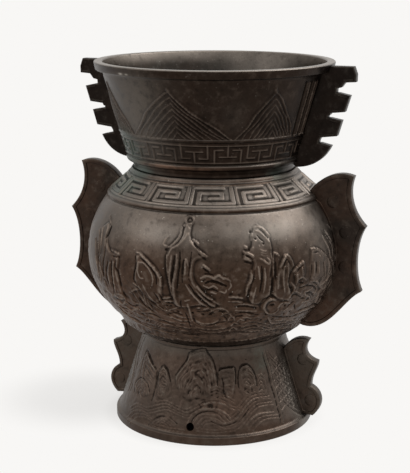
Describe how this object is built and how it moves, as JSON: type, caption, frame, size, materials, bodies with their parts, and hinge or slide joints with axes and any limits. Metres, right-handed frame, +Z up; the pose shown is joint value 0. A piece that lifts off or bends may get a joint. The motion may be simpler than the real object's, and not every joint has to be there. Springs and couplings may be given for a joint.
{
  "type": "bronze baluster vase",
  "caption": "Baluster vase with a flared neck, globular belly and spreading foot, cast in sections, with three pairs of upright flanges let into its sides.",
  "frame": {"origin": "on the standing surface under the middle of the foot", "axes": "+Z up the vase's axis; the flanges stand along X; the front with the vent hole looks along -Y"},
  "size_m": [0.2586, 0.2126, 0.3],
  "materials": {
    "wall_bronze": "dark brown patinated bronze, satin, rubbed to warm brown on raised edges",
    "flange_bronze": "darker, duller patinated bronze",
    "inner_bronze": "grey-brown as-cast inner surface, matt"
  },
  "bodies": {
    "root": {"neck_section": "wall_bronze", "belly_section": "wall_bronze", "foot_section": "wall_bronze", "floor_plate": "inner_bronze", "neck_flange_right": "flange_bronze", "neck_flange_left": "flange_bronze", "belly_flange_right": "flange_bronze", "belly_flange_left": "flange_bronze", "foot_flange_right": "flange_bronze", "foot_flange_left": "flange_bronze"}
  },
  "joints": []
}
